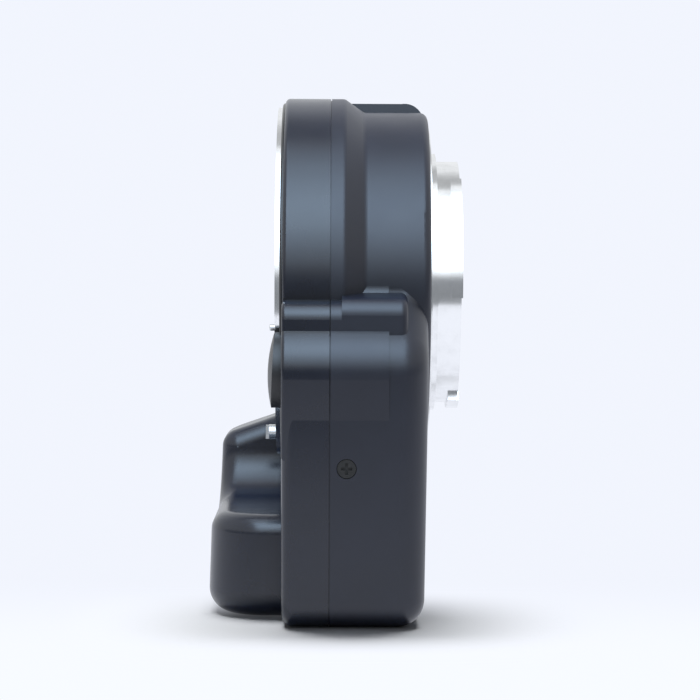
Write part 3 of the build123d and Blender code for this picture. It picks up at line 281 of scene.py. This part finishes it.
# %% [markdown]
# Both bayonet rings are bright metal turned on a lathe. The tool leaves very fine
# rings: they run around the axis on every face. The sum of a point's X and its
# distance from the axis changes across a cylinder as well as across a flat face,
# so one-dimensional noise on that sum draws the tool marks on both.

# %% Bright metal
def turned_metal(name, colour, rough, pitch_size, depth):
    finish = Finish(name)
    x, y, z = finish.axes()
    radius = (y * y + z * z) ** 0.5
    across = (x + radius) / pitch_size
    ring_sockets = {"W": across, "Scale": 1.0, "Detail": 2.0}
    rings = finish.node("ShaderNodeTexNoise", {"noise_dimensions": "1D"}, ring_sockets)
    wipe = finish.noise(220, 4.0, 0.6)
    worn = rgb(*(c * 0.86 for c in colour))
    finish.set("Base Color", finish.blend(finish.window(wipe, 0.35, 0.75), rgb(*colour), worn))
    finish.set("Metallic", 1.0)
    finish.set("Roughness", rough + (rings - 0.5) * 0.16 + (wipe - 0.5) * 0.1)
    finish.relief(rings, depth)
    return finish


bayonet_finish = turned_metal("bayonet_turned_metal", (0.92, 0.925, 0.93), 0.15, 0.00012, 0.0000008)
cover(bayonet_finish, "camera_mount_ring", "lens_mount_ring")
pin_finish = turned_metal("pin_turned_metal", (0.78, 0.79, 0.80), 0.24, 0.00008, 0.000001)
cover(pin_finish, "lock_pin", "coupler_shaft")
print("bright pieces:", finishes[bayonet_finish.material.name] + finishes[pin_finish.material.name])

# %% [markdown]
# Small steel, brass and gold pieces differ in colour and in how they were made: drawn
# wire and rolled plate show streaks along one direction, and plated contacts are
# smooth with a few scratches. One function serves them all, with the streak's
# direction as a stretch of the noise.

# %% Small metal pieces
def drawn_metal(name, colour, rough, stretch):
    finish = Finish(name)
    streak = finish.stretched_noise(900, stretch)
    stain = finish.noise(500, 3.0)
    deep = rgb(*(c * 0.72 for c in colour))
    finish.set("Base Color", finish.blend(finish.window(stain, 0.4, 0.8), rgb(*colour), deep))
    finish.set("Metallic", 1.0)
    finish.set("Roughness", rough + (streak - 0.5) * 0.25)
    finish.relief(streak, 0.000003)
    return finish


along_y = (3.0, 0.12, 3.0)
along_x = (0.12, 3.0, 3.0)
even = (2.0, 2.0, 2.0)
springs = ("release_spring", "coupler_spring", "bayonet_spring", "mirror_clips")
plates = ("lock_plate", "gear_plate", "idler_axle")
motors = ("focus_motor", "aperture_motor")
screws = ("lens_mount_screws", "camera_mount_screws", "gear_plate_screws", "board_screws")
pinions = ("motor_pinion", "aperture_pinion")
contacts = ("camera_contact_pads", "lens_contact_pins")
small_metals = (
    ("spring_steel", (0.55, 0.55, 0.57), 0.30, even, springs),
    ("rolled_steel_plate", (0.56, 0.56, 0.57), 0.34, along_y, plates),
    ("motor_can_steel", (0.62, 0.62, 0.62), 0.32, along_x, motors),
    ("screw_steel", (0.60, 0.60, 0.62), 0.30, even, screws),
    ("socket_steel", (0.58, 0.58, 0.58), 0.33, even, ("tripod_socket",)),
    ("pinion_brass", (0.78, 0.58, 0.27), 0.30, along_x, pinions),
    ("contact_gold", (0.88, 0.66, 0.29), 0.22, along_y, contacts),
)
for name, colour, rough, stretch, names in small_metals:
    cover(drawn_metal(name, colour, rough, stretch), *names)
print("small metals:", len(small_metals))

# %% [markdown]
# The side screws are steel under black oxide, which wears thin in patches and shows
# a brownish grey there.

# %% Black screws
blackened = Finish("screw_black_oxide")
patch = blackened.noise(900, 4.0, 0.65)
worn_share = blackened.window(patch, 0.5, 0.8)
oxide = rgb(0.012, 0.012, 0.012)
worn_steel = rgb(0.05, 0.045, 0.038)
blackened.set("Base Color", blackened.blend(worn_share, oxide, worn_steel))
blackened.set("Roughness", 0.45 + (patch - 0.5) * 0.3)
blackened.relief(patch, 0.000006)
cover(blackened, "side_screws")
print("black screws:", len(blackened.tree.nodes), "nodes")

# %% [markdown]
# Inside, everything near the light path is flat black so that it does not flare, and
# the gears are pale nylon. Matt plastics share a function: a rough, finely pitted
# surface whose tone varies a little.

# %% Plain plastics
def matt_plastic(name, dark, light, rough, pit_size):
    finish = Finish(name)
    cloud = finish.noise(180, 3.0)
    pits = finish.noise(1 / pit_size, 2.0, 0.6)
    finish.set("Base Color", finish.blend(finish.window(cloud, 0.3, 0.7), rgb(*dark), rgb(*light)))
    finish.set("Roughness", rough + (pits - 0.5) * 0.12)
    finish.relief(pits, 0.000008)
    return finish


light_path = ("mirror_box", "rear_baffle", "sensor_housing")
blocks = ("camera_contact_block", "lens_contact_block")
gears = ("coupler_gear", "idler_gear")
chips = ("sensor_chip", "board_chips")
dots = ("lens_index_dot", "camera_index_dot")
plastics = (
    ("light_path_flat_black", (0.008, 0.008, 0.009), (0.013, 0.013, 0.014), 0.78, 0.0002, light_path),
    ("mirror_frame_black", (0.014, 0.014, 0.015), (0.022, 0.022, 0.023), 0.55, 0.00015, ("mirror_frame",)),
    ("contact_block_black", (0.010, 0.010, 0.011), (0.018, 0.018, 0.019), 0.5, 0.00015, blocks),
    ("aperture_arc_plastic", (0.03, 0.03, 0.033), (0.045, 0.045, 0.048), 0.5, 0.00015, ("aperture_arc",)),
    ("gear_nylon", (0.70, 0.68, 0.62), (0.78, 0.77, 0.72), 0.48, 0.00012, gears),
    ("chip_epoxy", (0.012, 0.012, 0.012), (0.022, 0.022, 0.023), 0.6, 0.00008, chips),
    ("index_paint", (0.72, 0.72, 0.70), (0.80, 0.80, 0.78), 0.45, 0.0001, dots),
)
for name, dark, light, rough, pit_size, names in plastics:
    cover(matt_plastic(name, dark, light, rough, pit_size), *names)
print("plastics:", len(plastics))

# %% [markdown]
# The circuit boards are green laminate with copper runs under the lacquer. A brick
# pattern with wide mortar gives runs that turn at right angles.

# %% Circuit boards
board = Finish("board_green_laminate")
brick_settings = {"offset": 0.35, "offset_frequency": 2, "squash": 0.7, "squash_frequency": 3}
brick_sockets = {"Scale": 260.0, "Mortar Size": 0.06, "Brick Width": 0.9, "Row Height": 0.3}
x, y, z = board.axes()
flat = board.node("ShaderNodeCombineXYZ", sockets={0: x + y, 1: z, 2: 0.0})
runs = board.node("ShaderNodeTexBrick", brick_settings, {"Vector": flat, **brick_sockets}, output="Fac")
weave = board.noise(1500, 2.0)
lacquer = board.blend(weave, rgb(0.012, 0.07, 0.03), rgb(0.018, 0.10, 0.045))
board.set("Base Color", board.blend(runs, lacquer, rgb(0.05, 0.19, 0.08)))
board.set("Roughness", 0.36 + (weave - 0.5) * 0.2)
board.relief(runs, 0.00002)
cover(board, "main_board", "sensor_board")
print("board nodes:", len(board.tree.nodes))

# %% [markdown]
# The fixed mirror is a thin film that passes most of the light and reflects the rest.
# A metallic surface with part of its alpha taken away does both, and survives export
# better than two mixed shaders. The condenser is a small clear lens.

# %% Mirror film and condenser
film = Finish("mirror_film")
dust = film.noise(1200, 4.0, 0.7)
film.set("Base Color", film.blend(dust, rgb(0.66, 0.72, 0.76), rgb(0.74, 0.79, 0.82)))
film.set("Metallic", 0.9)
film.set("Roughness", 0.03 + film.window(dust, 0.6, 0.9) * 0.12)
film.set("Alpha", 0.55 + film.window(dust, 0.6, 0.9) * 0.1)
cover(film, "mirror")

glass = Finish("condenser_glass")
haze = glass.noise(700, 3.0)
glass.set("Base Color", glass.blend(haze, rgb(0.82, 0.86, 0.88), rgb(0.9, 0.92, 0.93)))
glass.set("Roughness", 0.02 + glass.window(haze, 0.5, 0.9) * 0.06)
glass.set("Transmission Weight", 0.9)
glass.set("IOR", 1.5)
cover(glass, "condenser_lens")
print("finishes:", len(finishes), "solids covered:", sum(finishes.values()))

# %% [markdown]
# The table is a wide sheet of pale paper that ends just below the picture. Close in
# front of the casing it is an ordinary matt surface, so it takes the soft shadow.
# Further out, and behind the object, it turns by degrees into a plain glow of the
# same pale tone as the backdrop, so no horizon shows. The glow is a little stronger
# toward the camera, a painted brightening of the near sheet. For mirrored rays the
# glow reaches right up to the foot in front of the casing and under the rings, where
# the matt sheet lies in shade, so the casing and the bright rings show a painted
# reflection of lit paper there. Cutting the sheet short in front matters for the
# casing too: what lies beyond its edge is dim, and the upright walls mirror it.

# %% Table
import bmesh

PALE = (0.885, 0.913, 0.99)
SHEET_FRONT = -0.17
SHEET_DEPTH = 6.0
floor_z = cad_box[0].z
mesh = bmesh.new()
half = SHEET_DEPTH / 2
bmesh.ops.create_grid(mesh, x_segments=1, y_segments=1, size=half)
bmesh.ops.translate(mesh, verts=mesh.verts, vec=(0, SHEET_FRONT + half, floor_z))
sheet_mesh = bpy.data.meshes.new("sheet")
mesh.to_mesh(sheet_mesh)
mesh.free()
sheet_piece = bpy.data.objects.new("sheet", sheet_mesh)
bpy.context.scene.collection.objects.link(sheet_piece)

sheet = Finish("pale_sheet")
x, y, z = sheet.axes()
foot_middle = (-0.0165, 0.0)
foot_half = (0.014, 0.034)
beside = sheet.above_zero(sheet.size_of(x - foot_middle[0]) - foot_half[0])
before = sheet.above_zero(sheet.size_of(y - foot_middle[1]) - foot_half[1])
clear = (beside * beside + before * before) ** 0.5
shadow_reach = 0.035
aside = sheet.window(clear, 0.002, shadow_reach)
behind = sheet.window(y, -0.025, 0.012)
fade = aside + behind - aside * behind
# Painted reflection: mirrored rays see the glow right up to the foot in front of the casing and under the
# rings, where the matt sheet lies in shade.
under_rings = sheet.window(x, -0.004, 0.0, 0.0, 0.03) * sheet.window(0.0 - y, 0.0, 0.03)
painted_reflection_reach = sheet.window(before + under_rings, 0.0, 0.006)
fibre = sheet.noise(60, 3.0)
sheet.set("Base Color", sheet.blend(fibre, rgb(0.82, 0.82, 0.82), rgb(0.84, 0.84, 0.84)))
sheet.set("Roughness", 0.9)
sheet.set("Specular IOR Level", 0.0)
# Painted brightening: the glow is a little brighter toward the camera, standing in for light on the near
# sheet.
toward_camera = sheet.window(0.0 - y, -0.03, 0.06)
PAINTED_BRIGHTENING_GAIN = 1.06
painted_bright_tone = rgb(*(c * PAINTED_BRIGHTENING_GAIN for c in PALE))
glow_with_painted_brightening = sheet.blend(toward_camera, rgb(*PALE), painted_bright_tone)
glow = sheet.node("ShaderNodeEmission", sockets={"Color": glow_with_painted_brightening, "Strength": 1.0})
matt = Signal(sheet.tree, sheet.shader.outputs[0])
# Mirrored rays take the glow as far as the painted reflection reaches.
mirrored = sheet.node("ShaderNodeLightPath", output="Is Glossy Ray")
share = fade + mirrored * sheet.above_zero(painted_reflection_reach - fade)
surface = sheet.node("ShaderNodeMixShader", sockets={0: share, 1: matt, 2: glow})
plug(sheet.tree, sheet.tree.nodes["Material Output"].inputs["Surface"], surface)
sheet_mesh.materials.append(sheet.material)
print("sheet at", round(floor_z * 1000, 2), "mm")

# %% [markdown]
# The room around the object is what the satin casing and the bright rings mirror. It
# is pale all round and palest in front, about half as bright overhead, and dim low
# down behind the camera, where the sheet ends. Four plain backgrounds do this, and
# the factors that mix them come from the direction of the ray. Two more serve the
# camera, which sees the pale tone everywhere, and the matt surfaces, which get only
# a weak fill, so that the lamp overhead draws the shadow.

# %% World
world = bpy.data.worlds.new("studio")
bpy.context.scene.world = world
world.use_nodes = True
sky = world.node_tree
sky.nodes.clear()


def sky_node(kind, settings=None, sockets=None, output=0):
    made = sky.nodes.new(kind)
    for key, value in (settings or {}).items():
        setattr(made, key, value)
    for key, value in (sockets or {}).items():
        plug(sky, made.inputs[key], value)
    return Signal(sky, made.outputs[output])


def backdrop(red, green, blue, strength):
    sockets = {"Color": rgb(red, green, blue), "Strength": strength}
    return sky_node("ShaderNodeBackground", sockets=sockets)


def sky_window(signal, low, high):
    settings = {"interpolation_type": "SMOOTHSTEP"}
    return sky_node("ShaderNodeMapRange", settings, {0: signal, 1: low, 2: high, 3: 0.0, 4: 1.0})


def sky_mix(factor, first, second):
    return sky_node("ShaderNodeMixShader", sockets={0: factor, 1: first, 2: second})


toward = sky_node("ShaderNodeTexCoord", output="Generated")
parts = sky_node("ShaderNodeSeparateXYZ", sockets={0: toward}).socket.node.outputs
depth_sky, height_sky = Signal(sky, parts["Y"]), Signal(sky, parts["Z"])
in_front = sky_window(0.0 - depth_sky, -0.2, -0.13)
low_down = sky_window(0.17 - height_sky, 0.0, 0.12)
overhead = sky_window(height_sky, 0.72, 0.93)
WALL = (0.96, 0.98, 1.0)
DIM_WALL = (0.88, 0.93, 1.0)
room = sky_mix(overhead, backdrop(*WALL, 0.92), backdrop(*WALL, 0.5))
room = sky_mix(in_front, room, backdrop(*WALL, 1.05))
room = sky_mix(in_front * low_down, room, backdrop(*DIM_WALL, 0.3))
rays = sky_node("ShaderNodeLightPath").socket.node.outputs
is_camera, is_glossy = Signal(sky, rays["Is Camera Ray"]), Signal(sky, rays["Is Glossy Ray"])
seen = sky_mix(is_glossy, backdrop(*WALL, 0.08), room)
seen = sky_mix(is_camera, seen, backdrop(*PALE, 1.0))
plug(sky, sky.nodes.new("ShaderNodeOutputWorld").inputs["Surface"], seen)
print("sky nodes:", len(sky.nodes))

# %% [markdown]
# Lamps stand in for a window and a bright ceiling. The window is a stack of cool
# panes in front, one above the other, brightest halfway up: their blurred reflection
# is the bright band along the ring, the barrel and the shoulder, and it fades out
# softly above and below. The panes are left out of the matt shading. The ceiling lamp
# is wide and a little behind the object. It lights the sheet and draws the soft
# shadow under the front of the casing, and it is left out of the reflections.

# %% Lamps
def panel(name, place, aim_at, width, height, watts, colour):
    lamp = bpy.data.lights.new(name, "AREA")
    lamp.shape = "RECTANGLE"
    lamp.size = width
    lamp.size_y = height
    lamp.energy = watts
    lamp.color = colour
    stand = bpy.data.objects.new(name, lamp)
    bpy.context.scene.collection.objects.link(stand)
    heading = (Vector(aim_at) - Vector(place)).to_track_quat("-Z", "Y")
    stand.matrix_world = Matrix.Translation(place) @ heading.to_matrix().to_4x4()
    return stand


middle = Vector((-0.015, 0.0, -0.01))
COOL = (0.57, 0.775, 1.0)
PANE_WIDTH = 0.8
# Each pane: its lower and upper edge in degrees above the horizon, and its watts per metre of height.
PANES = (
    (12, 22, 3.2),
    (22, 32, 6.7),
    (32, 42, 10.6),
    (42, 54, 11.6),
    (54, 66, 9.4),
    (66, 78, 6.3),
    (78, 90, 3.2),
)
for low, high, watts in PANES:
    lift = math.radians((low + high) / 2)
    pane_place = middle + Vector((-0.05, -math.cos(lift), math.sin(lift)))
    pane_height = 2 * math.tan(math.radians((high - low) / 2))
    pane = panel("window", pane_place, middle, PANE_WIDTH, pane_height, watts * pane_height, COOL)
    pane.visible_diffuse = False
ceiling_lamp = panel("ceiling", Vector((-0.03, 0.3, 1.2)), middle, 1.0, 0.5, 24.0, (0.93, 0.958, 1.0))
ceiling_lamp.visible_glossy = False
print("window panes:", len(PANES), "and", ceiling_lamp.name)

# %% [markdown]
# The Standard view shows the colours as they are, without a film curve.

# %% View settings
bpy.context.scene.view_settings.view_transform = "Standard"
